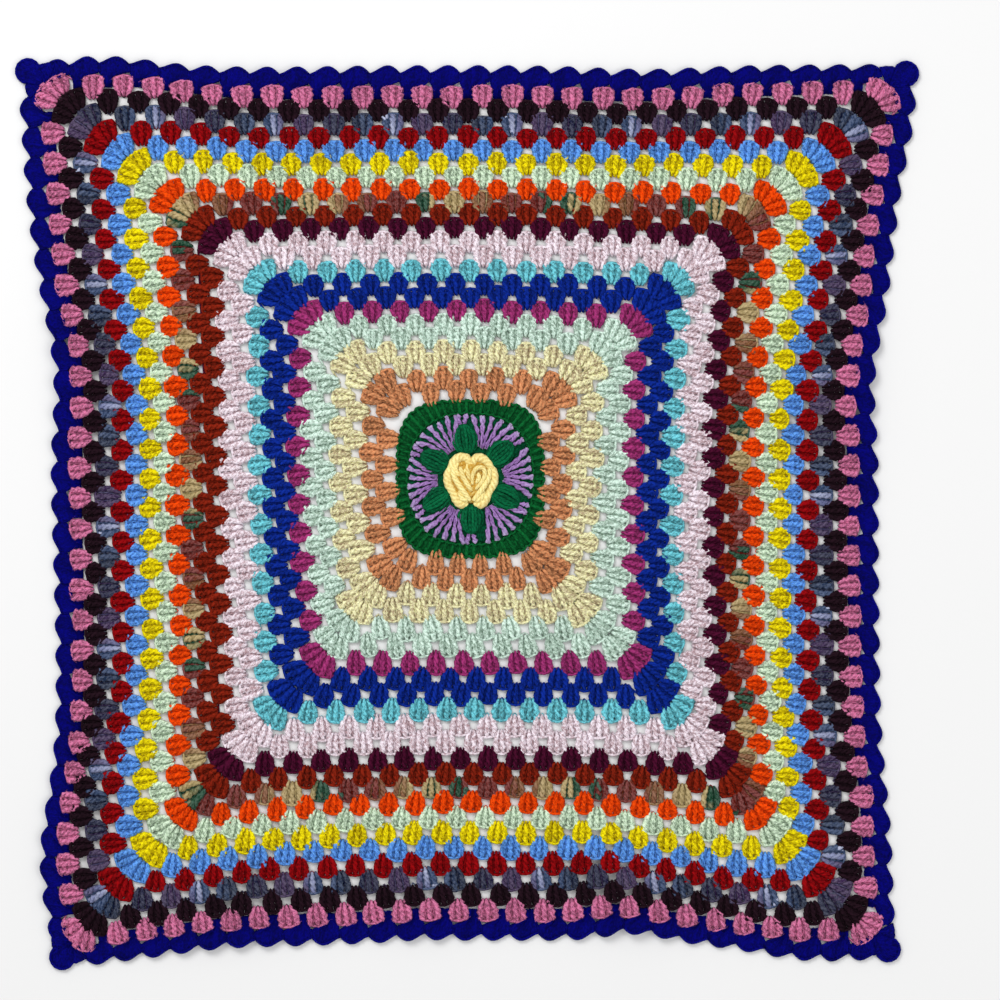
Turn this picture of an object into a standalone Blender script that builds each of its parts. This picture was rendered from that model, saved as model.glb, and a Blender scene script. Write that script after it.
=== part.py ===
"""A granny square blanket, laid out flat, front up.

Metres, +Z up. The blanket lies on the surface at z = 0 with the top edge towards +Y, and the origin is
under the middle of its box. The pieces are the worked ground of the granny rounds, the shell edging
round it, and the flower in its middle: a disc of fans, a ring, six leaf puffs and a rose.
"""

from math import atan2, cos, pi, radians, sin

import bmesh
import bpy
import numpy as np
from mathutils import Matrix, Vector

MM = 0.001
GAP = 0.4 * MM  # between neighbouring pieces
CLOTH_THICK = 4.5 * MM  # two crossing strands of worsted yarn and a little air

# The granny ground: each round of clusters grows the square by one cluster a side.
FIRST_ROUND, LAST_ROUND = 1, 23
CLUSTERS_IN_LAST = 28  # on each side of the last round
GROUND_RIM = LAST_ROUND + 0.75  # the ground ends at the tops of its last round
GROUND_ROWS = (1.0, 3.0, 6.0, 9.0, 12.0, 15.0, 17.0, 19.0, 21.0, 22.5, GROUND_RIM)

# Where each round lies: its line's place at the middle of the four sides, then its four corners,
# all in millimetres from the first loop of the flower. The last row is the outer edge.
LINE_COLUMNS = "round top right bottom left tl_x tl_y tr_x tr_y br_x br_y bl_x bl_y".split()
LINES = (
    (1, 122, 83, -53, -81, -75, 113, 78, 111, 71, -47, -67, -43),
    (4, 163, 123, -99, -129, -121, 159, 128, 153, 118, -100, -115, -98),
    (7, 203, 167, -152, -170, -164, 198, 171, 195, 171, -151, -149, -151),
    (10, 243, 205, -197, -207, -211, 241, 215, 238, 213, -203, -201, -203),
    (13, 287, 247, -247, -252, -256, 279, 260, 275, 258, -254, -243, -255),
    (16, 324, 286, -290, -289, -304, 321, 306, 318, 297, -305, -287, -306),
    (20, 376, 340, -351, -346, -370, 378, 371, 376, 354, -371, -354, -375),
    (23, 416, 382, -399, -388, -419, 427, 420, 424, 405, -419, -393, -427),
    (25, 448, 411, -428, -416, -452, 451, 451, 449, 431, -448, -414, -457),
)
SIDES = ("top", "right", "bottom", "left")
CORNERS = {"top": ("tl", "tr"), "right": ("tr", "br"), "bottom": ("br", "bl"), "left": ("bl", "tl")}

# Waves of the outer rounds, clockwise along each side: the place and width as shares of the side, how
# far the edge is pushed towards the middle and how high it stands off the surface, in millimetres.
WAVE_COLUMNS = "side place width push lift".split()
WAVES = (
    ("top", 0.09, 0.07, -9, 0),
    ("top", 0.26, 0.12, 3, 3),
    ("top", 0.70, 0.08, 4, 2),
    ("right", 0.05, 0.06, -7, 0),
    ("right", 0.35, 0.07, 9, 6),
    ("right", 0.62, 0.12, -2, 0),
    ("right", 0.86, 0.09, -5, 0),
    ("bottom", 0.10, 0.08, -10, 0),
    ("bottom", 0.31, 0.05, 9, 7),
    ("bottom", 0.56, 0.04, 2, 4),
    ("bottom", 0.80, 0.08, 4, 5),
    ("left", 0.11, 0.10, -18, 3),
    ("left", 0.66, 0.08, 10, 5),
    ("left", 0.86, 0.10, -4, 0),
)
WAVES_FROM, WAVES_TO = 11, 25  # the rounds between which the waves grow

# The edging: leaning shells along each side and one round lobe at each corner.
SHELL_DEPTH = 6.8 * MM
SHELL_LEAN = 1.45  # over 1 leans each shell clockwise
SHELL_STEPS = (0.0, 0.3, 0.6, 0.85)
ROUND_DEPTH = 14 * MM  # how far one round reaches outwards
LOBE_RADIUS = 15 * MM
LOBE_INSET = 10.5 * MM
LOBE_TURNS = (-76, -38, 0, 38, 76)  # degrees either side of the corner's diagonal
CORNER_SHARE = 0.026  # of the side, taken by half a corner lobe
LOBE_FOOT = 0.8  # how much of that the lobe's foot takes on the ground's rim
RIM_GAP = 1.6 * GAP

# The flower, round its own centre.
FLOWER_X, FLOWER_Y = 3 * MM, 34 * MM
RING_HALF_WIDTH, RING_HALF_LENGTH = 73.5 * MM, 78.5 * MM
RING_SQUARE = 3.6  # the power of its rounded square; 2 is an ellipse
RING_INNER = 62 * MM
DISC_GAP, HOLE_GAP = 1.5 * GAP, 2.5 * GAP
RING_POINTS, DISC_POINTS = 64, 48
LEAF_REACH = 44 * MM  # from the flower's centre to a leaf's
LEAF_WIDTH, LEAF_LENGTH, LEAF_HIGH = 22 * MM, 23 * MM, 6 * MM
LEAF_TURNS = (98, 41, -28, -89, 212, 153)  # degrees, from +X
ROSE_WIDTH, ROSE_LENGTH, ROSE_HIGH = 51 * MM, 51 * MM, 15 * MM
ROSE_PETALS, PETAL_DEPTH, ROSE_HEART = 6, 0.05, 0.1


def column(name, at):
    """One column of LINES at any round, in metres, going on straight past both ends."""
    rounds = [row[0] for row in LINES]
    values = [row[LINE_COLUMNS.index(name)] for row in LINES]
    step = min(max(int(np.searchsorted(rounds, at)) - 1, 0), len(rounds) - 2)
    share = (at - rounds[step]) / (rounds[step + 1] - rounds[step])
    return (values[step] + share * (values[step + 1] - values[step])) * MM


def corner(name, at):
    return Vector((column(name + "_x", at), column(name + "_y", at)))


def wave(side, share, at, what):
    """How far the cloth is pushed inwards or lifted, in metres, at this share of a side."""
    growth = min(max((at - WAVES_FROM) / (WAVES_TO - WAVES_FROM), 0), 1) ** 1.5
    fade = 1 - (2 * share - 1) ** 8
    total = 0
    for row in WAVES:
        fold = dict(zip(WAVE_COLUMNS, row))
        if fold["side"] == side:
            total += fold[what] * np.exp(-(((share - fold["place"]) / fold["width"]) ** 2))
    return total * growth * fade * MM


def cloth_point(side, share, at):
    """The underside of the cloth at a share of a side, counted clockwise, on round `at`."""
    first, last = (corner(name, at) for name in CORNERS[side])
    point = first.lerp(last, share)
    across = 1 if side in ("top", "bottom") else 0
    bow = column(side, at) - (first[across] + last[across]) / 2
    outwards = 1 if side in ("top", "right") else -1
    point[across] += bow * 4 * share * (1 - share)
    point[across] -= outwards * wave(side, share, at, "push")
    return Vector((point.x, point.y, wave(side, share, at, "lift")))


def ring_radius(angle):
    """The flower ring's outline: a rounded square."""
    x, y = abs(cos(angle)) / RING_HALF_WIDTH, abs(sin(angle)) / RING_HALF_LENGTH
    return (x**RING_SQUARE + y**RING_SQUARE) ** (-1 / RING_SQUARE)


def shell_reach(phase):
    """How far a shell stands out along its width, from 0 in the valley to 1 at its crest."""
    return sin(pi * phase**SHELL_LEAN)


def edge_stations():
    """(inner, outer) points of the edging, clockwise from the top left corner's lobe."""
    stations = []
    for index, side in enumerate(SIDES):
        for shell in range(CLUSTERS_IN_LAST):
            for phase in SHELL_STEPS:
                along = (shell + phase) / CLUSTERS_IN_LAST
                share = CORNER_SHARE + along * (1 - 2 * CORNER_SHARE)
                depth = (1 - shell_reach(phase)) * SHELL_DEPTH / ROUND_DEPTH
                stations.append((rim_point(side, share), cloth_point(side, share, LINES[-1][0] - depth)))
        name = CORNERS[side][1]
        tip, root = corner(name, LINES[-1][0]), corner(name, LAST_ROUND)
        diagonal = atan2(tip.y - root.y, tip.x - root.x)
        middle = tip - Vector((cos(diagonal), sin(diagonal))) * LOBE_INSET * 2**0.5
        for turn in LOBE_TURNS:
            angle = diagonal - radians(turn)
            outer = middle + LOBE_RADIUS * Vector((cos(angle), sin(angle)))
            beside = turn / max(LOBE_TURNS) * CORNER_SHARE * LOBE_FOOT
            if beside < 0:
                inner = rim_point(side, 1 + beside)
            else:
                inner = rim_point(SIDES[(index + 1) % 4], beside)
            stations.append((inner, outer.to_3d()))
    return stations


def rim_point(side, share):
    """A point just outside the ground's rim, on the straight chords between the ground's own points."""
    step = min(int(share * CLUSTERS_IN_LAST), CLUSTERS_IN_LAST - 1)
    outside = GROUND_RIM + RIM_GAP / ROUND_DEPTH
    ends = [cloth_point(side, (step + more) / CLUSTERS_IN_LAST, outside) for more in (0, 1)]
    return ends[0].lerp(ends[1], share * CLUSTERS_IN_LAST - step)


STATIONS = edge_stations()
OUTLINE = np.array([outer[:2] for _, outer in STATIONS])
MIDDLE = Vector((*((OUTLINE.min(axis=0) + OUTLINE.max(axis=0)) / 2), 0))


def finish(bm, name, colour, roughness):
    """Makes the mesh an object of the blanket, with its own yarn."""
    bmesh.ops.recalc_face_normals(bm, faces=bm.faces)
    bmesh.ops.translate(bm, verts=bm.verts, vec=-MIDDLE)
    mesh = bpy.data.meshes.new(name)
    bm.to_mesh(mesh)
    bm.free()
    yarn = bpy.data.materials.new(name + " yarn")
    yarn.use_nodes = True
    shader = yarn.node_tree.nodes["Principled BSDF"]
    shader.inputs["Base Color"].default_value = (*colour, 1)
    shader.inputs["Roughness"].default_value = roughness
    shader.inputs["Metallic"].default_value = 0
    mesh.materials.append(yarn)
    thing = bpy.data.objects.new(name, mesh)
    BLANKET.objects.link(thing)
    return thing


def band(name, around, rows, point, colour, roughness=0.92):
    """A closed band of cloth: point(place, row) is on its underside, and it is CLOTH_THICK high."""
    bm = bmesh.new()
    bmesh.ops.create_grid(bm, x_segments=around, y_segments=rows, size=1)
    for vert in bm.verts:
        place = round((vert.co.x + 1) / 2 * around) % around
        vert.co = point(place, round((vert.co.y + 1) / 2 * rows))
    bmesh.ops.remove_doubles(bm, verts=bm.verts, dist=0.001 * MM)
    raised = bmesh.ops.extrude_face_region(bm, geom=bm.faces[:])
    upper = [item for item in raised["geom"] if isinstance(item, bmesh.types.BMVert)]
    bmesh.ops.translate(bm, verts=upper, vec=(0, 0, CLOTH_THICK))
    return finish(bm, name, colour, roughness)


def puff(name, middle, size, turn, cuts, shape, colour):
    """A stuffed form on the disc: a sphere drawn out to size, cut flat underneath and then shaped."""
    bm = bmesh.new()
    bmesh.ops.create_uvsphere(bm, u_segments=cuts[0], v_segments=cuts[1], radius=1)
    for vert in bm.verts:
        angle = atan2(vert.co.y, vert.co.x)
        wide = shape(angle)
        high = max(vert.co.z, 0)
        vert.co = (vert.co.x * size[0] / 2 * wide, vert.co.y * size[1] / 2 * wide, high * size[2])
    bmesh.ops.rotate(bm, verts=bm.verts, matrix=Matrix.Rotation(turn, 3, "Z"))
    bmesh.ops.translate(bm, verts=bm.verts, vec=(middle.x, middle.y, CLOTH_THICK + GAP))
    return finish(bm, name, colour, 0.9)


def make_ground():
    """The worked ground: all the granny rounds, one continuous piece of cloth with a hole for the flower."""
    around = 4 * CLUSTERS_IN_LAST
    flower = Vector((FLOWER_X, FLOWER_Y, 0))

    def point(place, row):
        side = SIDES[place // CLUSTERS_IN_LAST]
        share = (place % CLUSTERS_IN_LAST) / CLUSTERS_IN_LAST
        if row:
            return cloth_point(side, share, GROUND_ROWS[row - 1])
        outwards = cloth_point(side, share, FIRST_ROUND) - flower
        radius = ring_radius(atan2(outwards.y, outwards.x)) + HOLE_GAP
        return flower + outwards.normalized() * radius

    band("granny_ground", around, len(GROUND_ROWS), point, (0.60, 0.42, 0.47))


def make_edging():
    """The shell edging, worked into the spaces of the last round."""
    band("shell_edging", len(STATIONS), 1, lambda place, row: STATIONS[place][row], (0.0, 0.0, 0.17))


def make_flower():
    """The flower: a disc of lilac fans, the green ring round it, six leaf puffs and the rose."""
    flower = Vector((FLOWER_X, FLOWER_Y, 0))

    def on_ring(angle, radius):
        return flower + Vector((cos(angle), sin(angle), 0)) * radius

    def ring_point(place, row):
        angle = -2 * pi * place / RING_POINTS
        return on_ring(angle, ring_radius(angle) if row else RING_INNER)

    band("green_ring", RING_POINTS, 1, ring_point, (0.0, 0.08, 0.013))
    bm = bmesh.new()
    bmesh.ops.create_cone(
        bm,
        cap_ends=True,
        segments=DISC_POINTS,
        radius1=RING_INNER - DISC_GAP,
        radius2=RING_INNER - DISC_GAP,
        depth=CLOTH_THICK,
        matrix=Matrix.Translation(flower + Vector((0, 0, CLOTH_THICK / 2))),
    )
    finish(bm, "fan_disc", (0.37, 0.19, 0.52), 0.92)
    for number, turn in enumerate(LEAF_TURNS, 1):
        size = (LEAF_LENGTH, LEAF_WIDTH, LEAF_HIGH)
        middle = on_ring(radians(turn), LEAF_REACH)
        puff(f"leaf_puff_{number}", middle, size, radians(turn), (16, 8), lambda angle: 1, (0.0, 0.11, 0.04))

    def petals(angle):
        return (1 + ROSE_HEART * sin(angle)) * (1 + PETAL_DEPTH * abs(cos(ROSE_PETALS / 2 * angle)))

    puff("rose", flower, (ROSE_WIDTH, ROSE_LENGTH, ROSE_HIGH), 0, (32, 12), petals, (0.87, 0.72, 0.19))


for thing in list(bpy.data.objects):
    bpy.data.objects.remove(thing)
BLANKET = bpy.data.collections.new("granny square blanket")
bpy.context.scene.collection.children.link(BLANKET)
make_ground()
make_edging()
make_flower()
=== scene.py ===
from math import atan2, cos, pi, radians, sin

import bpy
import numpy as np
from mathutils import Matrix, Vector


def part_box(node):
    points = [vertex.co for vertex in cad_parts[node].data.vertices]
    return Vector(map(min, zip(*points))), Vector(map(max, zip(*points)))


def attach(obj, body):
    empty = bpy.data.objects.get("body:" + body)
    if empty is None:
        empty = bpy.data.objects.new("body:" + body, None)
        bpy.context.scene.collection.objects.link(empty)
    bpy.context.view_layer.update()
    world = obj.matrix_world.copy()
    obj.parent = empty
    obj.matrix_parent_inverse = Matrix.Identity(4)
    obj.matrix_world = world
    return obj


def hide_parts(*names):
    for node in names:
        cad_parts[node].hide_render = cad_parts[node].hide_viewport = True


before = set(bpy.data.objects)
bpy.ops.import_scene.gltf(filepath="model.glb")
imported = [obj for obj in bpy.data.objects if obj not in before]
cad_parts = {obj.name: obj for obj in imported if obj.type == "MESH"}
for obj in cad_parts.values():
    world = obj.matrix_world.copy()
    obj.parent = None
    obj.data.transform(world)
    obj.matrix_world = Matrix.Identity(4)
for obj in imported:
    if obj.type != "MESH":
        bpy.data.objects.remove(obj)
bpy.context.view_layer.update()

# ---------------------------------------------------------------------------------------------------
# The granny rounds. Worsted wool worked in groups of three trebles, each group in the space between two
# groups of the round before, and one more group a side in every round. Each round is one length of yarn.

MM = 0.001
FIRST_ROUND, LAST_ROUND = 1, 23
SPARE_GROUPS = 5  # a side of round r has r + 5 groups

# Where each round lies: its line's place at the middle of the four sides, then its four corners, all in
# millimetres from the first loop of the flower. The last row is the outer edge.
LINE_COLUMNS = "round top right bottom left tl_x tl_y tr_x tr_y br_x br_y bl_x bl_y".split()
LINES = np.array(
    (
        (1, 122, 83, -53, -81, -75, 113, 78, 111, 71, -47, -67, -43),
        (4, 163, 123, -99, -129, -121, 159, 128, 153, 118, -100, -115, -98),
        (7, 203, 167, -152, -170, -164, 198, 171, 195, 171, -151, -149, -151),
        (10, 243, 205, -197, -207, -211, 241, 215, 238, 213, -203, -201, -203),
        (13, 287, 247, -247, -252, -256, 279, 260, 275, 258, -254, -243, -255),
        (16, 324, 286, -290, -289, -304, 321, 306, 318, 297, -305, -287, -306),
        (20, 376, 340, -351, -346, -370, 378, 371, 376, 354, -371, -354, -375),
        (23, 416, 382, -399, -388, -419, 427, 420, 424, 405, -419, -393, -427),
        (25, 448, 411, -428, -416, -452, 451, 451, 449, 431, -448, -414, -457),
    ),
    float,
)
SIDES = ("top", "right", "bottom", "left")
CORNERS = {"top": ("tl", "tr"), "right": ("tr", "br"), "bottom": ("br", "bl"), "left": ("bl", "tl")}
EDGE = LINES[-1, 0]

# Waves of the outer rounds, clockwise along each side: place and width as shares of the side, then how
# far the edge is pushed towards the middle and how high it stands off the surface, in millimetres.
WAVE_COLUMNS = "side place width push lift".split()
WAVES = (
    ("top", 0.09, 0.07, -9, 0),
    ("top", 0.26, 0.12, 3, 3),
    ("top", 0.70, 0.08, 4, 2),
    ("right", 0.05, 0.06, -7, 0),
    ("right", 0.35, 0.07, 9, 6),
    ("right", 0.62, 0.12, -2, 0),
    ("right", 0.86, 0.09, -5, 0),
    ("bottom", 0.10, 0.08, -10, 0),
    ("bottom", 0.31, 0.05, 9, 7),
    ("bottom", 0.56, 0.04, 2, 4),
    ("bottom", 0.80, 0.08, 4, 5),
    ("left", 0.11, 0.10, -18, 3),
    ("left", 0.66, 0.08, 10, 5),
    ("left", 0.86, 0.10, -4, 0),
)
WAVES_FROM, WAVES_TO = 11, 25

# The flower's centre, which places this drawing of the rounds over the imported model.
FLOWER = np.array((3, 34)) * MM
ring_low, ring_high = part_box("fan_disc")
SHIFT = np.array(((ring_low[0] + ring_high[0]) / 2, (ring_low[1] + ring_high[1]) / 2)) - FLOWER


def column(name, at):
    """One column of LINES at any rounds, in metres, going on straight past both ends."""
    rounds, values = LINES[:, 0], LINES[:, LINE_COLUMNS.index(name)]
    step = np.clip(np.searchsorted(rounds, at) - 1, 0, len(rounds) - 2)
    share = (at - rounds[step]) / (rounds[step + 1] - rounds[step])
    return (values[step] + share * (values[step + 1] - values[step])) * MM


def wave(side, share, at, what):
    """How far the cloth is pushed inwards or lifted, in metres, at these shares of a side."""
    growth = np.clip((at - WAVES_FROM) / (WAVES_TO - WAVES_FROM), 0, 1) ** 1.5
    fade = 1 - np.clip(np.abs(2 * share - 1), 0, 1) ** 8
    total = 0 * share
    for row in WAVES:
        fold = dict(zip(WAVE_COLUMNS, row))
        if fold["side"] == side:
            total = total + fold[what] * np.exp(-(((share - fold["place"]) / fold["width"]) ** 2))
    return total * growth * fade * MM


def cloth(side, stitch, at):
    """Points under the cloth: stitch counts groups clockwise from the side's middle, at counts rounds."""
    stitch, at = np.broadcast_arrays(np.asarray(stitch, float), np.asarray(at, float))
    share = 0.5 + stitch / (at + SPARE_GROUPS)
    first, last = (
        np.stack([column(name + "_x", at), column(name + "_y", at)], axis=-1) for name in CORNERS[side]
    )
    place = first + (last - first) * share[..., None]
    across = 1 if side in ("top", "bottom") else 0
    bow = column(side, at) - (first[..., across] + last[..., across]) / 2
    outwards = 1 if side in ("top", "right") else -1
    place[..., across] += bow * 4 * share * (1 - share)
    place[..., across] -= outwards * wave(side, share, at, "push")
    high = wave(side, share, at, "lift")
    return np.concatenate([place + SHIFT, high[..., None]], axis=-1)


def strands(paths, radii, sides, tone, dye):
    """Yarn of a number of sides along each path, an array by strand, point and xyz."""
    count, length = paths.shape[:2]
    ahead = np.gradient(paths, axis=1)
    ahead /= np.linalg.norm(ahead, axis=2, keepdims=True) + 1e-12
    beside = np.cross(ahead, (0.05, 0.03, 1.0))
    beside /= np.linalg.norm(beside, axis=2, keepdims=True) + 1e-12
    above = np.cross(ahead, beside)
    turn = 2 * pi * np.arange(sides) / sides
    ring = beside[:, :, None] * np.cos(turn)[:, None] + above[:, :, None] * np.sin(turn)[:, None]
    points = paths[:, :, None] + ring * np.broadcast_to(radii, (count, length))[:, :, None, None]
    index = np.arange(count * length * sides).reshape(count, length, sides)
    caps = np.concatenate([index[:, 0, ::-1], index[:, -1]])
    steps = np.linalg.norm(np.diff(paths, axis=1), axis=2)
    along = np.concatenate([np.zeros((count, 1)), np.cumsum(steps, axis=1)], axis=1)
    tone, dye = np.reshape(tone, (-1, 1, 1)), np.broadcast_to(dye, (count, length))
    return skinned(points, caps, along[..., None], tone, dye[..., None])


def skinned(rings, caps, along, tone, dye, wraps=1):
    """Skins through rings of points: an array by strand, place along it and place around it."""
    shape = rings.shape[:3]
    index = np.arange(np.prod(shape)).reshape(shape)
    beyond = np.roll(index, -1, axis=2)
    quads = np.stack([index[:, :-1], beyond[:, :-1], beyond[:, 1:], index[:, 1:]], axis=-1).reshape(-1, 4)
    return {
        "points": rings.reshape(-1, 3),
        "quads": quads,
        "caps": caps,
        "sides": shape[2],
        "wraps": wraps,
        "along": np.broadcast_to(along, shape).reshape(-1),
        "tone": np.broadcast_to(tone, shape).reshape(-1),
        "dye": np.broadcast_to(dye, shape).reshape(-1),
    }


def worked(name, bundles, yarn):
    """One piece of crochet from bundles of strands, in its yarn, riding on the blanket."""
    points, faces, around, along, tone, dye, start = [], [], [], [], [], [], 0
    for bundle in bundles:
        sides = bundle["sides"]
        points.append(bundle["points"])
        faces += (bundle["quads"] + start).tolist() + (bundle["caps"] + start).tolist()
        place = np.arange(len(bundle["quads"])) % sides / sides
        spots = np.stack([place, place + 1 / sides, place + 1 / sides, place], axis=1)
        around.append(spots.ravel() * bundle["wraps"])
        around.append(np.full(bundle["caps"].size, 0.5))
        along.append(bundle["along"][np.concatenate([bundle["quads"].ravel(), bundle["caps"].ravel()])])
        tone.append(bundle["tone"])
        dye.append(bundle["dye"])
        start += len(bundle["points"])
    mesh = bpy.data.meshes.new(name)
    mesh.from_pydata(np.concatenate(points), [], faces)
    mesh.shade_smooth()
    map_of_yarn = mesh.uv_layers.new(name="yarn")
    spots = np.stack([np.concatenate(around), np.concatenate(along) / UV_LENGTH], axis=1)
    map_of_yarn.data.foreach_set("uv", spots.ravel().astype(np.float32))
    for label, values in (("tone", tone), ("dye", dye)):
        kept = mesh.attributes.new(label, "FLOAT", "POINT")
        kept.data.foreach_set("value", np.concatenate(values).astype(np.float32))
    mesh.materials.append(yarn)
    piece = bpy.data.objects.new(name, mesh)
    bpy.context.scene.collection.objects.link(piece)
    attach(piece, "root")
    return piece


UV_LENGTH = 0.02  # metres of yarn to one unit of its map

# One group: three posts of two loops of yarn each, narrow where they share a space and fanned at the top.
# The columns are the share of the height, half the group's width and the strand's radius (shares of half
# the width at the top), and the height over the surface in millimetres.
GROUP = np.array(
    (
        (0.00, 0.44, 0.12, 1.8),
        (0.10, 0.58, 0.15, 3.7),
        (0.22, 0.75, 0.18, 4.0),
        (0.35, 0.90, 0.195, 3.8),
        (0.48, 1.00, 0.20, 3.6),
        (0.61, 1.05, 0.20, 3.6),
        (0.74, 1.08, 0.20, 3.5),
        (0.87, 1.06, 0.19, 3.3),
        (1.00, 0.95, 0.16, 2.8),
    )
)
GROUP_BASE, GROUP_TOP = -0.84, 0.62  # in rounds from the round's own line
CORNER_BASE, CORNER_TOP, CORNER_WIDER = -0.57, 0.71, 1.08
GROUP_LEAST, GROUP_STRETCH = 11.0 * MM, 0.70  # a group's height: the least, and its share of the rounds'
POST_TURNS = 2.0
TOP_WIDTH = 0.372  # half a group's width, as a share of the pitch between groups
CORNER_LEAN = 0.28
BASE_SCATTER, TOP_SCATTER = 0.45 * MM, 0.7 * MM  # no two groups are worked quite alike
# Behind the posts, loops that cross from one to the next keep the group closed: share of the height,
# share of half the width, and height in millimetres.
BETWEEN = np.array(((0.10, 0.15, 2.3), (0.50, 0.35, 2.8), (0.96, 0.40, 2.6)))
BETWEEN_RADIUS = 0.108  # as a share of half the width


def group_axes(round_number, side, chance, keep):
    """Where each group of one side stands: base and top points, half its width, and the pitch."""
    count = round_number + SPARE_GROUPS
    stitch = np.arange(count) - (count - 1) / 2
    stitch = stitch[[keep(place, count) for place in range(count)]]
    at_corner = np.sign(stitch) * (np.abs(stitch) > (count - 1) / 2 - 0.1)
    turned = np.abs(at_corner)
    base = cloth(side, stitch, round_number + GROUP_BASE + (CORNER_BASE - GROUP_BASE) * turned)
    top = round_number + GROUP_TOP + (CORNER_TOP - GROUP_TOP) * turned
    top = cloth(side, stitch + CORNER_LEAN * at_corner, top)
    # The cloth is stretched more in some places than others, and the groups only partly with it.
    middle, reach = (base + top) / 2, (top - base)
    rounds_high = np.linalg.norm(reach[:, :2], axis=1) / (GROUP_TOP - GROUP_BASE)
    high = (GROUP_LEAST + GROUP_STRETCH * rounds_high) * chance.normal(1, 0.03, len(stitch))
    reach *= (high / np.linalg.norm(reach[:, :2], axis=1))[:, None]
    base, top = middle - reach / 2, middle + reach / 2
    base[:, :2] += chance.normal(0, BASE_SCATTER, (len(stitch), 2))
    top[:, :2] += chance.normal(0, TOP_SCATTER, (len(stitch), 2))
    beside = cloth(side, stitch + 0.5, round_number) - cloth(side, stitch - 0.5, round_number)
    pitch = np.linalg.norm(beside, axis=1)
    half = pitch * TOP_WIDTH * chance.normal(1, 0.035, len(stitch))
    return stitch, base, top, half * (1 + (CORNER_WIDER - 1) * turned), pitch


def frame_of(base, top):
    """The length and the two flat directions, along and beside, of each group."""
    along = top - base
    along[:, 2] = 0
    length = np.linalg.norm(along, axis=1)
    along /= length[:, None]
    return length, along, np.cross(along, (0, 0, 1))


def drawn(base, top, x, y, z):
    """Points of each group: x beside and y along its axis, z over the cloth."""
    length, along, beside = frame_of(base, top)
    path = base[:, None] + beside[:, None] * x[..., None] + along[:, None] * y[..., None]
    path[..., 2] = z + base[:, 2:3] + (top[:, 2:3] - base[:, 2:3]) * y / length[:, None]
    return path


def twisted(lines, swing, strand, phase, turns):
    """Two loops of yarn twisted round each other along each line: their paths and radii."""
    ahead = np.gradient(lines, axis=1)
    beside = np.cross(ahead, (0, 0, 1))
    beside /= np.linalg.norm(beside, axis=2, keepdims=True)
    angle = 2 * pi * turns * np.linspace(0, 1, lines.shape[1]) + phase[:, None]
    paths = []
    for loop in (0, pi):
        path = lines + beside * (swing * np.cos(angle + loop))[..., None]
        path[..., 2] += 0.8 * swing * np.sin(angle + loop)
        paths.append(path)
    return np.concatenate(paths), np.tile(strand, (2, 1))


def posts(base, top, half, chance):
    """The three posts of each group."""
    rise, wide, thick, high = GROUP.T
    length = frame_of(base, top)[0]
    total, paths, radii = len(base), [], []
    for post in (-1, 0, 1):
        x = half[:, None] * wide * post * 2 / 3
        y = length[:, None] * rise * (1 - 0.04 * abs(post)) + chance.normal(0, 0.25 * MM, (total, 1))
        line = drawn(base, top, x, y, high * MM + chance.normal(0, 0.15 * MM, (total, 1)))
        strand = half[:, None] * thick
        swing = np.maximum(half[:, None] * wide / 3 - strand, 0.12 * strand)
        phase = 2.2 * post + chance.uniform(-0.5, 0.5, total)
        path, radius = twisted(line, swing, strand, phase, POST_TURNS)
        paths.append(path)
        radii.append(radius)
    return np.concatenate(paths), np.concatenate(radii)


def between_posts(base, top, half):
    """The loops behind the posts, one each side of the middle post."""
    rise, beside, high = BETWEEN.T
    x, y = half[:, None] * beside, frame_of(base, top)[0][:, None] * rise
    paths = [drawn(base, top, hand * x, y, high * MM) for hand in (-1, 1)]
    return np.concatenate(paths), np.tile(BETWEEN_RADIUS * half, 2)[:, None]


# The chain along the top of a round, for one group: how far beside its middle (half widths), how far out
# from the group's top, how high over the surface and its radius (millimetres). It dips through the space
# that follows, under the next round's group.
CHAIN = np.array(
    (
        (-0.84, -1.3, 2.9, 1.2),
        (-0.42, -0.2, 3.2, 1.3),
        (0.00, 0.5, 3.6, 1.4),
        (0.42, -0.2, 3.2, 1.3),
        (0.84, -1.2, 2.9, 1.2),
    )
)
DIP_HIGH, DIP_RADIUS = 0.9 * MM, 0.8 * MM


def chain(base, top, half, dips, chance):
    """One path over every group's top and through the dips between them, and its radius."""
    beside, out, high, radius = CHAIN.T
    length = frame_of(base, top)[0]
    y = length[:, None] + out * MM + chance.normal(0, 0.15 * MM, (len(base), len(CHAIN)))
    path = drawn(base, top, half[:, None] * beside, y, high * MM)
    path = np.concatenate([path, dips[:, None]], axis=1).reshape(1, -1, 3)
    return path, np.tile(np.append(radius * MM, DIP_RADIUS), len(base))[None]


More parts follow.
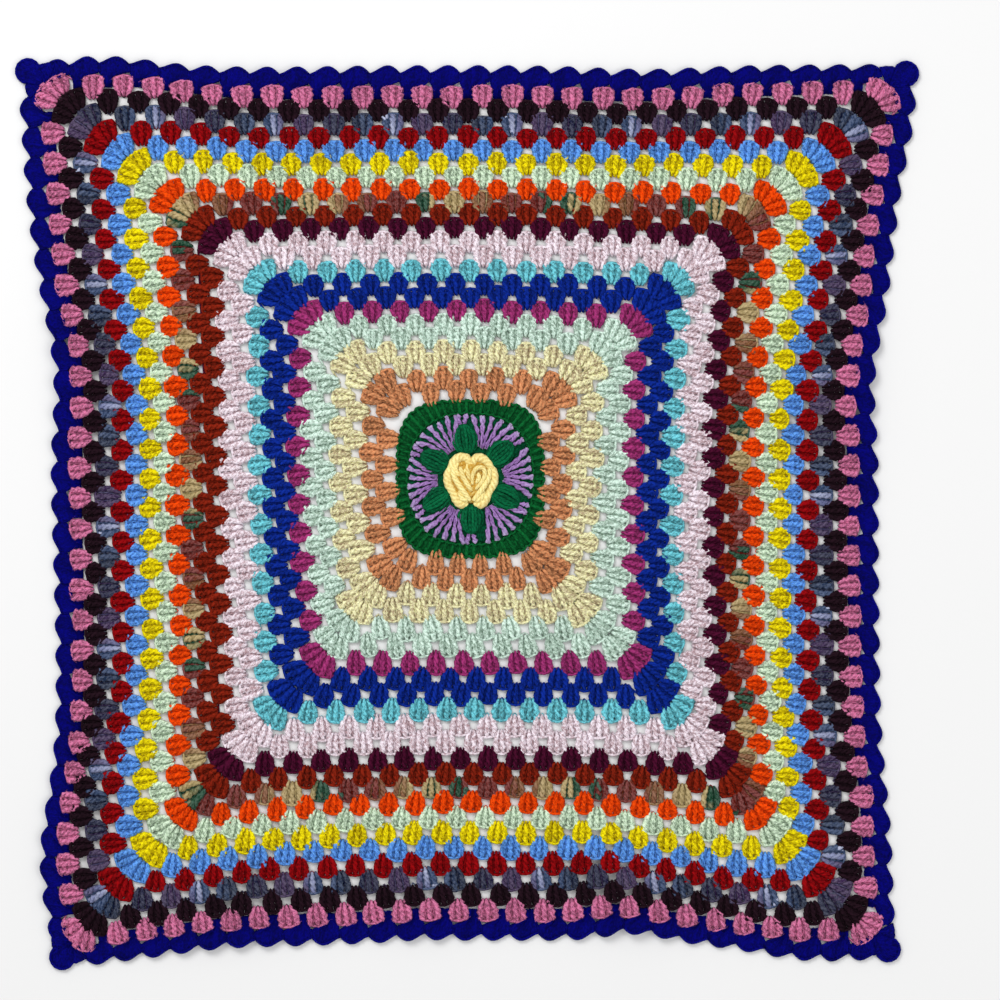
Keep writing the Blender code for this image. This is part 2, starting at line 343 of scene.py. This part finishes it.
class Shade:
    """An output in a yarn's shader, which can be added to, taken away and multiplied like a number."""

    def __init__(self, tree, socket=None):
        self.tree, self.socket = tree, socket

    def node(self, kind, settings=None, sockets=None, out=0):
        """A new node: its settings are set first, then its sockets' values or links."""
        made = self.tree.nodes.new("ShaderNode" + kind)
        for name, value in (settings or {}).items():
            if name == "stops":
                while len(made.color_ramp.elements) < len(value):
                    made.color_ramp.elements.new(1)
                for element, (place, colour) in zip(made.color_ramp.elements, value):
                    element.position, element.color = place, colour
            elif name == "blend":
                made.color_ramp.interpolation = value
            else:
                setattr(made, name, value)
        for name, value in (sockets or {}).items():
            if isinstance(value, Shade):
                self.tree.links.new(value.socket, made.inputs[name])
            else:
                made.inputs[name].default_value = value
        return Shade(self.tree, made.outputs[out] if made.outputs else None)

    def maths(self, operation, first, second=0.0, limit=False):
        return self.node("Math", {"operation": operation, "use_clamp": limit}, {0: first, 1: second})

    def __add__(self, other):
        return self.maths("ADD", self, other)

    def __sub__(self, other):
        return self.maths("SUBTRACT", self, other)

    def __mul__(self, other):
        return self.maths("MULTIPLY", self, other)

    def __rsub__(self, other):
        return self.maths("SUBTRACT", other, self)

    __radd__, __rmul__ = __add__, __mul__


def linear(colour):
    """A dyer's colour, 0 to 255, as the shader takes it."""
    share = np.array(colour) / 255
    return (*np.where(share <= 0.04045, share / 12.92, ((share + 0.055) / 1.055) ** 2.4), 1)


def yarn_of(name, colour, shade=None, light=None, dyes=None, fuzz=0.1, speckle=2.2):
    """Four-ply worsted: its plies lie as slanting ridges along the strand, with a haze of fibres. Its colour
    mixes a darker and a paler copy by random tone, and by the plies as painted shade in their furrows and
    painted highlight on their ridges.
    """
    yarn = bpy.data.materials.new(name)
    yarn.use_nodes = True
    tree = yarn.node_tree
    tree.nodes.clear()
    start = Shade(tree)
    strand = start.node("UVMap", {"uv_map": "yarn"})
    parts = strand.node("SeparateXYZ", {}, {0: strand})
    round_it, along = parts, Shade(tree, parts.socket.node.outputs[1])
    ply = start.maths("SINE", (round_it * 4 + along * 4.2) * (2 * pi))
    stretched = strand.node("Mapping", {}, {"Vector": strand, "Scale": (9, 26, 1)})
    fibre = strand.node("TexNoise", {}, {"Vector": stretched, "Scale": 1.0, "Detail": 3.0})
    place = strand.node("TexCoord", {}, out=3)
    cloudy = strand.node("TexNoise", {}, {"Vector": place, "Scale": 55.0, "Detail": 2.0})
    specks = strand.node("TexNoise", {}, {"Vector": place, "Scale": 420.0, "Detail": 1.0})
    tone = strand.node("Attribute", {"attribute_name": "tone"}, out=2)
    # Random tone from clouds, specks and each strand's tone, which is set low on some strands as painted
    # shade.
    tone_variation_and_shade = (cloudy - 0.5) * 0.5 + (tone - 0.5) * 0.5 + (specks - 0.5) * speckle
    # The plies lighten the colour on their ridges and darken it in their furrows: painted highlight and
    # painted shade.
    tone_and_ply_shading = start.maths("ADD", 0.5 + ply * 0.16 + (fibre - 0.5) * 0.9, tone_variation_and_shade, limit=True)
    colour = np.array(colour, float)
    # The two ends of the mix: darker and paler copies of the colour, for its random tone and also as painted
    # shade and painted highlight.
    dark_copy_and_shade = linear(colour * 0.68 if shade is None else shade)
    high = linear(np.minimum(colour * 1.16 + 6, 255) if light is None else light)
    if dyes is None:
        shown = start.node("Mix", {"data_type": "RGBA"}, {0: tone_and_ply_shading, 6: dark_copy_and_shade, 7: high}, out=2)
    else:
        dye = strand.node("Attribute", {"attribute_name": "dye"}, out=2)
        spot = start.maths("FRACT", dye + (cloudy - 0.5) * 0.10 + (tone - 0.5) * 0.04)
        stops = [(share, linear(tint)) for share, tint in dyes]
        ramp = spot.node("ValToRGB", {"stops": stops}, {0: spot})
        # Mixed dyes go the same way: a darker copy for tone and painted shade, a paler copy for tone and
        # painted highlight.
        multiply = {"data_type": "RGBA", "blend_type": "MULTIPLY"}
        dark = spot.node("Mix", multiply, {0: 1.0, 6: ramp, 7: (0.6, 0.6, 0.6, 1)}, out=2)
        pale = spot.node("Mix", {"data_type": "RGBA"}, {0: 0.08, 6: ramp, 7: (1, 1, 1, 1)}, out=2)
        shown = start.node("Mix", {"data_type": "RGBA"}, {0: tone_and_ply_shading, 6: dark, 7: pale}, out=2)
    relief = start.node(
        "Bump", {}, {"Strength": 0.55, "Distance": 0.0006, "Height": ply * 0.5 + fibre * 0.9}
    )
    shader = start.node(
        "BsdfPrincipled",
        {},
        {
            "Base Color": shown,
            "Roughness": 0.88,
            "Specular IOR Level": 0.08,
            "Sheen Weight": fuzz * float(colour.mean()) / 255,
            "Sheen Roughness": 0.45,
            "Sheen Tint": high,
            "Normal": relief,
        },
    )
    start.node("OutputMaterial", {}, {"Surface": shader})
    return yarn


# What each round is worked in, from the flower outwards: the yarn, its slot, and its colours, 0 to 255.
YARNS = {
    "terracotta": ("terracotta_yarn", (197, 133, 90)),
    "cream": ("cream_yarn", (246, 214, 170)),
    "mint": ("mint_yarn", (195, 230, 204)),
    "magenta": ("magenta_yarn", (150, 46, 106)),
    "royal": ("royal_yarn", (5, 36, 134)),
    "turquoise": ("turquoise_yarn", (104, 188, 200)),
    "pale_pink": ("pale_pink_yarn", (255, 206, 214)),
    "plum": ("plum_yarn", (66, 5, 36)),
    "rust": ("rust_yarn", (122, 27, 8)),
    "autumn": ("autumn_mixed_yarn", (120, 75, 45)),
    "orange": ("orange_yarn", (255, 66, 0)),
    "pale_mint": ("pale_mint_yarn", (196, 224, 190)),
    "yellow": ("yellow_yarn", (234, 200, 6)),
    "cornflower": ("cornflower_yarn", (88, 144, 226)),
    "deep_red": ("deep_red_yarn", (134, 0, 6)),
    "night": ("night_mixed_yarn", (50, 50, 100)),
    "black_plum": ("black_plum_yarn", (28, 10, 20)),
    "dusty_pink": ("dusty_pink_yarn", (194, 108, 146)),
}
MIXED_DYES = {
    "autumn": (
        (0.00, (0, 74, 48)),
        (0.15, (2, 78, 48)),
        (0.20, (190, 168, 112)),
        (0.42, (194, 170, 118)),
        (0.50, (142, 92, 48)),
        (0.62, (134, 76, 38)),
        (0.70, (124, 24, 8)),
        (0.95, (118, 22, 8)),
    ),
    "night": (
        (0.00, (185, 192, 222)),
        (0.09, (110, 118, 165)),
        (0.18, (66, 38, 88)),
        (0.38, (60, 34, 84)),
        (0.46, (20, 20, 68)),
        (0.64, (12, 24, 66)),
        (0.74, (10, 36, 70)),
        (0.88, (50, 74, 116)),
    ),
}
DYE_REPEAT = {"autumn": 4.7, "night": 4.0}  # in groups
DYE_START = {"autumn": 1.6, "night": 2.2}
ROUND_YARNS = (
    "terracotta terracotta cream cream mint mint magenta royal royal turquoise pale_pink pale_pink plum"
    " rust autumn orange pale_mint yellow cornflower deep_red night black_plum dusty_pink"
).split()

yarns = {
    label: (yarn_of(label + " worsted", colour, dyes=MIXED_DYES.get(label)), slot)
    for label, (slot, colour) in YARNS.items()
}


def work_round(name, round_number, label, keep):
    """All the groups of a round that keep(side, place, count) picks, with the chain along their tops."""
    chance = np.random.default_rng(round_number)
    bundles, strip_long, strip_high = [], 0, []
    repeat, begin = DYE_REPEAT.get(label, 1.0), DYE_START.get(label, 0)
    for number, side in enumerate(SIDES):
        stitch, base, top, half, pitch = group_axes(
            round_number, side, chance, lambda place, count: keep(side, place, count)
        )
        if not len(stitch):
            continue
        nth = number * (round_number + SPARE_GROUPS) + stitch + begin
        paths, radii = posts(base, top, half, chance)
        post = np.repeat(np.arange(3) / 3, 2 * len(stitch))
        dye = (np.tile(nth, 6) + post)[:, None] + np.linspace(0, 0.25, paths.shape[1])
        bundles.append(strands(paths, radii, 4, chance.uniform(0.2, 1, len(paths)), dye / repeat))
        # The loops behind the posts get tone 0, the darkest colour of their yarn: painted shade between the
        # posts.
        paths, radii = between_posts(base, top, half)
        bundles.append(strands(paths, radii, 4, 0 * radii, np.tile(nth, 2)[:, None] / repeat))
        dips = cloth(side, stitch + 0.5, round_number + 0.16)
        dips[:, 2] += DIP_HIGH
        path, radius = chain(base, top, half, dips, chance)
        where = np.repeat(nth, len(CHAIN) + 1)[None]
        bundles.append(strands(path, radius, 4, np.array([0.7]), where / repeat))
        strip_long += pitch.sum()
        strip_high += list(frame_of(base, top)[0] + GROUP_LOOPS)
    yarn, slot = yarns[label]
    piece = worked(name, bundles, yarn)
    return piece


GROUP_LOOPS = 4 * MM  # the chain over a group's top and the loops under its base



def in_rust(side, place, count):
    """Whether a group of the plum round is rust: the plum ran out on the left, between its corner groups."""
    return side == "left" and 0 < place < count - 1


for round_number, label in enumerate(ROUND_YARNS, FIRST_ROUND):
    name = f"round_{round_number:02d}_{label}"
    if label == "plum":
        work_round(name, round_number, label, lambda *group: not in_rust(*group))
        work_round(f"round_{round_number:02d}_rust", round_number, "rust", in_rust)
    else:
        work_round(name, round_number, label, lambda *group: True)
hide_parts("granny_ground")

# ---------------------------------------------------------------------------------------------------
# The shell edging. Ultramarine yarn in the spaces of the last round: each shell starts in one space, leans
# clockwise over the next group and is drawn back down at the space that follows. A round lobe turns
# each corner.

SHELL_DEPTH, ROUND_DEPTH = 6.8, 14  # millimetres: from a shell's tip to its ends, and of one round
SHELL_LEAN, SHELL_BACK = 1.45, 0.24  # how far the tip leans on, and how far the shell starts back
SHELL_ROOT, ROOT_SPREAD = 22.8, 0.15  # in rounds, and in groups
SHELL_FAN = np.linspace(-0.03, 1.03, 10)  # where each post of a shell ends, as shares of its width
SHELL_INSET, BEND_TO = 1.2, 0.62  # millimetres from the edge, and the height at which the posts have spread
EDGING_HIGH = np.array((2.8, 3.9, 4.5, 4.8, 4.6, 4.3, 3.7)) * MM
RIB_DEEP, CLOTH_FLOOR = 1.5 * MM, 0.4 * MM
OUTLINE = np.linspace(0.0, 0.97, 11)
OUTLINE_TURNS = np.radians(np.linspace(-120, 120, len(OUTLINE)))
OUTLINE_IN, OUTLINE_HIGH, OUTLINE_RADIUS = 1.5, 2.7 * MM, 1.6 * MM  # the first in millimetres
STITCH_SCATTER = 0.35 * MM
LOBE_RADIUS, LOBE_INSET = 13.5 * MM, 11.5 * MM
LOBE_TURNS = np.radians(np.linspace(-115, 115, len(SHELL_FAN)))
FOOT_TURNS = np.radians(np.linspace(-72, 72, len(SHELL_FAN)))
FOOT_REACH = 23 * MM


def shell_edge(share, inset):
    """The round number a shell reaches at a share of its width, less an inset in millimetres."""
    depth = (1 - np.sin(pi * np.clip(share, 0, 1) ** SHELL_LEAN)) * SHELL_DEPTH
    return EDGE - (depth + inset) / ROUND_DEPTH


def ribbed(forms, deep, chance):
    """Dense cloth over forms of posts side by side: each post is a ridge, with a furrow to the next."""
    count, posts, length = forms.shape[:3]
    top = np.repeat(forms, 2, axis=1)[:, :-1]
    top[:, 1::2] = (forms[:, 1:] + forms[:, :-1]) / 2 - (0, 0, deep)
    under = top * (1, 1, 0) + (0, 0, CLOTH_FLOOR)
    rings = np.concatenate([top, under[:, ::-1]], axis=1).transpose(0, 2, 1, 3)
    sides = rings.shape[2]
    index = np.arange(count * length * sides).reshape(count, length, sides)
    near, far = index[..., : sides // 2], index[..., : sides // 2 - 1 : -1]
    ends = []
    for end, order in ((0, 1), (-1, -1)):
        upper, lower = near[:, end], far[:, end]
        cap = np.stack([upper[:, :-1], lower[:, :-1], lower[:, 1:], upper[:, 1:]], axis=-1)
        ends.append(cap.reshape(-1, 4)[:, ::order])
    steps = np.linalg.norm(np.diff(rings, axis=1), axis=3)
    along = np.concatenate([np.zeros((count, 1, sides)), np.cumsum(steps, axis=1)], axis=1)
    shades = np.repeat(chance.uniform(0, 1, (count, posts)), 2, axis=1)[:, :-1]
    shades = np.concatenate([shades, shades[:, ::-1]], axis=1)[:, None]
    return skinned(rings, np.concatenate(ends), along, shades, 0, wraps=sides / 4)


chance = np.random.default_rng(100)
shift = np.array((*SHIFT, 0))
rise = np.linspace(0, 1, len(EDGING_HIGH))
shells, outlines = [], []
for side in SIDES:
    count = LAST_ROUND + SPARE_GROUPS
    for shell in np.arange(count) - count / 2:
        for share in SHELL_FAN:
            start = ROOT_SPREAD * (2 * share - 1)
            bend_from = 0.12 + 0.2 * abs(2 * share - 1)
            bend = np.clip((rise - bend_from) / (BEND_TO - bend_from), 0, 1)
            across = shell + start + (share - SHELL_BACK - start) * bend
            up = SHELL_ROOT + (shell_edge(share, SHELL_INSET) - SHELL_ROOT) * rise**0.85
            shells.append(cloth(side, across, up))
        outlines.append(cloth(side, shell + OUTLINE - SHELL_BACK, shell_edge(OUTLINE, OUTLINE_IN)))
    name = CORNERS[side][1]
    tip, root = (
        np.array((column(name + "_x", at), column(name + "_y", at), 0)) for at in (EDGE, SHELL_ROOT + 0.2)
    )
    diagonal = (tip - root) / np.linalg.norm(tip - root)
    heading, root = atan2(diagonal[1], diagonal[0]), root + shift
    middle = tip - diagonal * LOBE_INSET * 2**0.5 + shift
    turns = heading - OUTLINE_TURNS
    rim = np.stack([np.cos(turns), np.sin(turns), 0 * turns], axis=1)
    outlines.append(middle + rim * (LOBE_RADIUS - OUTLINE_IN * MM))
    for turn in heading - LOBE_TURNS:
        spoke = np.array((cos(turn), sin(turn), 0))
        place = middle + spoke * (LOBE_RADIUS - SHELL_INSET * MM)
        shells.append(root + spoke * MM + (place - root - spoke * MM) * rise[:, None])
    for turn in heading - FOOT_TURNS:
        spoke = np.array((cos(turn), sin(turn), 0))
        shells.append(root + spoke * (MM + (FOOT_REACH - MM) * rise[:, None]))
shells = np.array(shells).reshape(-1, len(SHELL_FAN), len(rise), 3)
shells[..., 2] += EDGING_HIGH
shells += chance.normal(0, STITCH_SCATTER, shells.shape)
bundles = [ribbed(shells, RIB_DEEP, chance)]
outlines = np.array(outlines)
outlines[..., 2] += np.where(np.arange(len(OUTLINE)) % 2, STITCH_SCATTER, -STITCH_SCATTER)
outlines[..., [0, -1], 2] -= 0.9 * MM  # each chain dips at both ends, where the next shell starts
outlines[..., 2] += OUTLINE_HIGH
bundles.append(strands(outlines, OUTLINE_RADIUS, 5, chance.uniform(0, 1, len(outlines)), 0))
edging_yarn = yarn_of("ultramarine worsted", (0, 0, 108), light=(2, 2, 122))
edging = worked("shell_edging_ultramarine", bundles, edging_yarn)
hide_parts("shell_edging")

# ---------------------------------------------------------------------------------------------------
# The green ring round the flower: short stitches in dark green that turn its circle into a rounded
# square, with a chain along each edge and the dense cloth of the rounds themselves behind them.

FLOWER_AT = FLOWER + SHIFT
RING_OUTER, RING_INNER = (73.5 * MM, 78.5 * MM), (63 * MM, 65.5 * MM)
RING_SQUARE, INNER_SQUARE = 3.6, 2.4  # 2 is a circle
RING_STITCHES = 62
CLOTH_UNDER, CLOTH_BACK = 2.6 * MM, 0.3 * MM  # how high the cloth behind the raised stitches lies
RING_POST = 2.0 * MM
# Its two chains: how far across the ring, then how high, their swing and their radius in millimetres.
RING_CHAINS = ((0.03, 3.9, 0.8, 1.2), (0.97, 3.5, 1.1, 1.35))


def polar(angle, radius, high=0.0):
    """Points round the flower's centre, from +X, in metres."""
    angle, radius, high = np.broadcast_arrays(angle, radius, high)
    x, y = FLOWER_AT[0] + radius * np.cos(angle), FLOWER_AT[1] + radius * np.sin(angle)
    return np.stack([x, y, high], axis=-1)


def rounded_square(angle, halves, power):
    """How far the outline of a rounded square lies from its centre."""
    x, y = np.abs(np.cos(angle)) / halves[0], np.abs(np.sin(angle)) / halves[1]
    return (x**power + y**power) ** (-1 / power)


def thick_posts(lines, radius, chance):
    """Posts of thick yarn along ready lines, swelling a little at each turn of their loops."""
    swell = 1 + 0.10 * np.sin(2.4 * np.arange(lines.shape[1]) + chance.uniform(0, 6, (len(lines), 1)))
    return strands(lines, radius * swell, 5, chance.uniform(0, 1, len(lines)), 0)


def backing(name, inner, outer, yarn, slot):
    """The cloth behind the raised stitches: a flat band round the flower's centre, from inner to outer, at
    tone 0, darkened as painted shade under the stitches.
    """
    turn = np.linspace(0, 2 * pi, len(inner), endpoint=False)
    top = [(reach, CLOTH_UNDER) for reach in (outer, (inner + outer) / 2, inner)]
    rings = [(inner, CLOTH_BACK), (outer, CLOTH_BACK), *top]
    path = np.stack([polar(turn, reach, high) for reach, high in rings], axis=1)
    index = np.arange(len(turn) * len(rings)).reshape(-1, len(rings))
    ahead, beyond = np.roll(index, -1, axis=0), np.roll(index, -1, axis=1)
    quads = np.stack([index, ahead, np.roll(ahead, -1, axis=1), beyond], axis=-1).reshape(-1, 4)
    band = {"points": path.reshape(-1, 3), "quads": quads, "caps": quads[:0]}
    band |= {"sides": len(rings), "wraps": 1}
    # Tone 0 is the darkest colour of the yarn: painted shade under the raised stitches.
    band |= {label: np.zeros(index.size) for label in ("along", "tone", "dye")}
    piece = worked(name, [band], yarn)
    area = 0.5 * (outer**2 - inner**2).sum() * turn[1]
    area / (2 * pi * outer.mean())
    2 * pi * outer.mean()


ring_yarn = yarn_of("dark green worsted", (2, 84, 36))
angle = 2 * pi * np.arange(RING_STITCHES) / RING_STITCHES
inner = rounded_square(angle, RING_INNER, INNER_SQUARE) - 1.5 * MM
outer = rounded_square(angle, RING_OUTER, RING_SQUARE) + chance.normal(0, 0.6 * MM, RING_STITCHES)
across = inner[:, None] + (outer - inner)[:, None] * rise
lines = polar(angle[:, None], across, EDGING_HIGH - 1.2 * MM)
bundles = [thick_posts(lines, RING_POST, chance)]
fine = np.linspace(0, 2 * pi, RING_STITCHES * 3 + 1)
inner, outer = rounded_square(fine, RING_INNER, INNER_SQUARE), rounded_square(fine, RING_OUTER, RING_SQUARE)
for share, high, swing, thick in RING_CHAINS:
    beat = np.sin(fine * RING_STITCHES + share * 9)
    path = polar(fine, inner + (outer - inner) * share + swing * MM * beat, (high + 0.4 * beat) * MM)
    bundles.append(strands(path[None], thick * MM, 5, np.array([0.5]), 0))
ring = worked("green_ring_stitches", bundles, ring_yarn)
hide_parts("green_ring")
under_ring = inner[:-1] - 1 * MM, outer[:-1] - 1.2 * MM
backing("green_ring_cloth", *under_ring, ring_yarn, "dark_green_yarn")

# ---------------------------------------------------------------------------------------------------
# The disc of fans. Six lilac fans of long posts stand between the leaves, with a short pair of posts
# outside each leaf, over a flat emerald cloth.

FAN_TURNS = np.radians((124, 66, 6, -53, 242, 183))
LEAF_TURNS = np.radians((98, 41, -28, -89, 212, 153))
FAN_POSTS, FAN_SPREAD, FAN_FROM = 6, radians(22), 33 * MM
FAN_HIGH = np.array((3.8, 4.6, 5.0, 5.2, 5.0, 4.8, 4.2)) * MM
PAIR_FROM, PAIR_REACH = 52 * MM, 1.5 * MM
FAN_FOOT = 0.17  # radians, half a fan's spread where its posts start
FAN_ROOT_RADIUS, FAN_THICKENS, FAN_TWISTS = 0.88, 0.94, 1.7  # the strands: millimetres, and turns
FLOWER_HOLE = 8 * MM
# The lilac's own colour along each post, whitening at the tip as a painted highlight on the fans' rim.
LILAC_DYES_AND_TIP_HIGHLIGHT = (  # from a post's foot to its pale tip
    (0.00, (150, 104, 180)),
    (0.55, (168, 122, 194)),
    (0.85, (178, 145, 206)),
    (1.00, (196, 190, 222)),
)

fan_yarn = yarn_of("lilac worsted", (165, 118, 190), dyes=LILAC_DYES_AND_TIP_HIGHLIGHT)
lines = []
for turn in FAN_TURNS:
    for spread in np.linspace(-1, 1, FAN_POSTS):
        angle = turn + spread * (FAN_FOOT + (FAN_SPREAD - FAN_FOOT) * rise)
        reach = rounded_square(angle[-1], RING_INNER, INNER_SQUARE) - chance.uniform(0, 2.5 * MM)
        lines.append(polar(angle, FAN_FROM + (reach - FAN_FROM) * rise, FAN_HIGH))
for turn in LEAF_TURNS:
    for spread in (-0.07, 0.06):
        angle = turn + spread * (0.4 + 0.6 * rise)
        reach = rounded_square(angle[-1], RING_INNER, INNER_SQUARE) - PAIR_REACH
        lines.append(polar(angle, PAIR_FROM + (reach - PAIR_FROM) * rise, FAN_HIGH))
lines = np.array(lines)
thick = (FAN_ROOT_RADIUS + FAN_THICKENS * rise) * MM * chance.normal(1, 0.06, (len(lines), 1))
lines[..., :2] += chance.normal(0, 0.4 * MM, (*lines.shape[:2], 2))
paths, radii = twisted(lines, thick * 0.95, thick, chance.uniform(0, 6, len(lines)), FAN_TWISTS)
reach = np.tile(rise * 0.93, (len(paths), 1))
fans = strands(paths, radii, 5, chance.uniform(0, 1, len(paths)), reach)
disc = worked("lilac_fans", [fans], fan_yarn)
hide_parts("fan_disc")

emerald_yarn = yarn_of("emerald worsted", (0, 86, 50))
under_flower = np.full(len(inner) - 1, FLOWER_HOLE), inner[:-1] - 1.2 * MM
backing("flower_cloth", *under_flower, emerald_yarn, "emerald_yarn")

# ---------------------------------------------------------------------------------------------------
# The leaf puffs: six bundles of long emerald loops, drawn together at both ends so that they swell.

LEAF_INNER, LEAF_OUTER = 26 * MM, 55 * MM
LEAF_HALF, LEAF_FLOOR, LEAF_HIGH = 11.8 * MM, 3.4 * MM, 5.0 * MM
LEAF_LOOPS, LEAF_POINTS, LEAF_STRAND = 8, 11, 1.9 * MM
for number, turn in enumerate(LEAF_TURNS, 1):
    along = np.linspace(0, 1, LEAF_POINTS)
    bulge = np.sin(pi * (0.06 + 0.88 * along)) ** 0.6
    bundles = []
    for tier, loops in ((0, LEAF_LOOPS), (1, LEAF_LOOPS - 2)):
        place = np.linspace(-1, 1, loops)[:, None] * (1 - 0.25 * tier)
        beside = place * bulge * LEAF_HALF + chance.normal(0, 0.3 * MM, (loops, 1))
        out = LEAF_INNER + (LEAF_OUTER - LEAF_INNER) * along * (1 - 0.09 * place**2)
        high = LEAF_FLOOR + LEAF_HIGH * (0.3 + 0.7 * tier) * bulge * np.sqrt(1 - 0.6 * place**2)
        x = FLOWER_AT[0] + out * cos(turn) - beside * sin(turn)
        y = FLOWER_AT[1] + out * sin(turn) + beside * cos(turn)
        path = np.stack([x, y, high], axis=-1)
        bundles.append(strands(path, LEAF_STRAND * (0.7 + 0.3 * bulge), 6, chance.uniform(0, 1, loops), 0))
    leaf = worked(f"leaf_puff_loops_{number}", bundles, emerald_yarn)
    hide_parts(f"leaf_puff_{number}")

# ---------------------------------------------------------------------------------------------------
# The rose: one long strip worked in butter yellow and rolled up, its folds sewn down as petals. Each row
# is a fold: how thick and how high it lies (millimetres), then the points that it follows.

ROSE_AT = FLOWER_AT + np.array((0.5, -1.5)) * MM
FOLDS = (
    (4.8, 4.6, ((-21, 4), (-19, 15), (-12, 22.5), (-4.5, 22.5), (-1.0, 14))),
    (4.8, 4.6, ((1.5, 14), (4.5, 21.5), (11, 22), (18.5, 16), (21, 5))),
    (4.6, 4.4, ((-19.5, 15), (-22.5, 8), (-22.5, -2), (-18.5, -11), (-15, -18))),
    (4.6, 4.4, ((19.5, 15), (23, 7), (22.5, -3), (18, -12), (15, -18))),
    (4.8, 4.6, ((-19, -8), (-15.5, -17), (-10, -23.5), (-3.2, -24))),
    (4.8, 4.6, ((19, -8), (15.5, -17), (10.5, -23.5), (3.2, -24))),
    (2.8, 7.4, ((-13, 18), (-15, 11), (-11, 6), (-5, 10), (-3.0, 16))),
    (2.9, 9.2, ((-18, 14), (-16.5, 4), (-11.5, -5), (-5.5, -13.5), (-0.6, -20))),
    (2.9, 9.4, ((19, 12), (17.5, 2), (12.5, -7), (7.5, -14), (2.6, -20))),
    (2.7, 8.0, ((-11.5, -11), (-9, -17.5), (-3.5, -21))),
    (2.7, 8.0, ((13.5, -11), (10.5, -17.5), (5.0, -21))),
    (2.5, 10.6, ((-10.5, 13.5), (-8.0, 4.5), (-3.5, -3.5), (0.8, -10.5))),
    (2.3, 11.0, ((1.6, -4), (1.8, 5.0), (5.8, 12.0), (12.0, 12.5), (14.2, 6.0), (11.0, -1.5), (5.0, -8.5))),
    (2.2, 10.4, ((7.6, 7.5), (8.2, 2.5), (5.4, -2.5))),
    (2.4, 9.2, ((-4.0, 12.5), (-2.5, 6.0), (-1.5, 0.0))),
)
HEART_ROWS = ((19, 2.6), (13, 4.6), (8, 5.8), (3, 6.2))  # how far out and how high the rolled strip lies

# The rose's shade colour, darker and browner than its yellow, is painted shade for the creases between the
# folds; its light colour is a painted highlight.
rose_yarn = yarn_of(
    "butter worsted", (238, 220, 118), shade=(196, 150, 56), light=(253, 241, 168), speckle=0.9
)


def smooth(points, count):
    """A curve through given points, evenly stepped."""
    points = np.array(points, float)
    ends = np.concatenate([[2 * points[0] - points[1]], points, [2 * points[-1] - points[-2]]])
    at = np.linspace(0, len(points) - 1 - 1e-9, count)
    step = at.astype(int)
    t = (at - step)[:, None]
    a, b, c, d = (ends[step + k] for k in range(4))
    return 0.5 * (2 * b + (c - a) * t + (2 * a - 5 * b + 4 * c - d) * t**2 + (3 * b - a - 3 * c + d) * t**3)


bundles = []
for thick, high, points in FOLDS:
    count = 5 * len(points)
    line = smooth(points, count) * MM + ROSE_AT
    along = np.linspace(0, 1, count)
    fat = thick * MM * (0.6 + 0.4 * np.sin(pi * along) ** 0.5) * (1 + 0.05 * np.sin(along * len(points) * 9))
    top = (high - 2.0 * np.abs(2 * along - 1) ** 2.5) * MM
    path = np.concatenate([line, top[:, None]], axis=1)
    bundles.append(strands(path[None], fat[None], 14, chance.uniform(0.7, 1, 1), 0))
turns = np.linspace(0, 2 * pi, 33)
for out, high in HEART_ROWS:
    row = np.stack([ROSE_AT[0] + out * MM * np.cos(turns), ROSE_AT[1] + out * MM * np.sin(turns)], axis=1)
    row = np.concatenate([row, np.full((len(row), 1), high * MM)], axis=1)
    # The heart rows get a tone below every other, much darker: painted shade under the folds.
    bundles.append(strands(row[None], 4.2 * MM, 8, np.array([-0.4]), 0))
rose = worked("rose_folds", bundles, rose_yarn)
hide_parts("rose")

# ---------------------------------------------------------------------------------------------------
# The floor, the light and the camera, straight above the blanket.

VIEW_MIDDLE = np.array((32.7, 13)) * MM + SHIFT
VIEW_WIDTH, CAMERA_HIGH, SENSOR = 1.0, 3.2, 36
FLOOR_SIZE, FLOOR_GREY, STUDIO_LIGHT = 12, 0.80, 0.70

bpy.ops.mesh.primitive_plane_add(size=FLOOR_SIZE, location=(0, 0, -0.0002))
floor = bpy.context.object
floor.name = "floor"
plain = bpy.data.materials.new("plain pale floor")
plain.use_nodes = True
surface = plain.node_tree.nodes["Principled BSDF"].inputs
surface["Base Color"].default_value = (FLOOR_GREY, FLOOR_GREY, FLOOR_GREY, 1)
surface["Roughness"].default_value = 0.9
surface["Specular IOR Level"].default_value = 0.1
floor.data.materials.append(plain)

world = bpy.data.worlds.new("studio")
bpy.context.scene.world = world
world.use_nodes = True
world.node_tree.nodes["Background"].inputs["Color"].default_value = (1, 1, 1, 1)
world.node_tree.nodes["Background"].inputs["Strength"].default_value = STUDIO_LIGHT


def lamp(name, place, size, power):
    """A soft square light that looks at the blanket's middle."""
    data = bpy.data.lights.new(name, "AREA")
    data.size, data.energy = size, power
    light = bpy.data.objects.new(name, data)
    light.location = place
    light.rotation_euler = (-Vector(place)).to_track_quat("-Z", "Y").to_euler()
    bpy.context.scene.collection.objects.link(light)


lamp("key", (-1.2, 1.8, 2.6), 1.6, 58)
lamp("fill", (1.8, -0.6, 2.4), 2.0, 17)

camera_data = bpy.data.cameras.new("camera")
camera_data.sensor_width = SENSOR
camera_data.lens = SENSOR * CAMERA_HIGH / VIEW_WIDTH
camera = bpy.data.objects.new("camera", camera_data)
camera.location = (VIEW_MIDDLE[0], VIEW_MIDDLE[1], CAMERA_HIGH)
bpy.context.scene.collection.objects.link(camera)
bpy.context.scene.camera = camera
bpy.context.scene.view_settings.view_transform = "Standard"
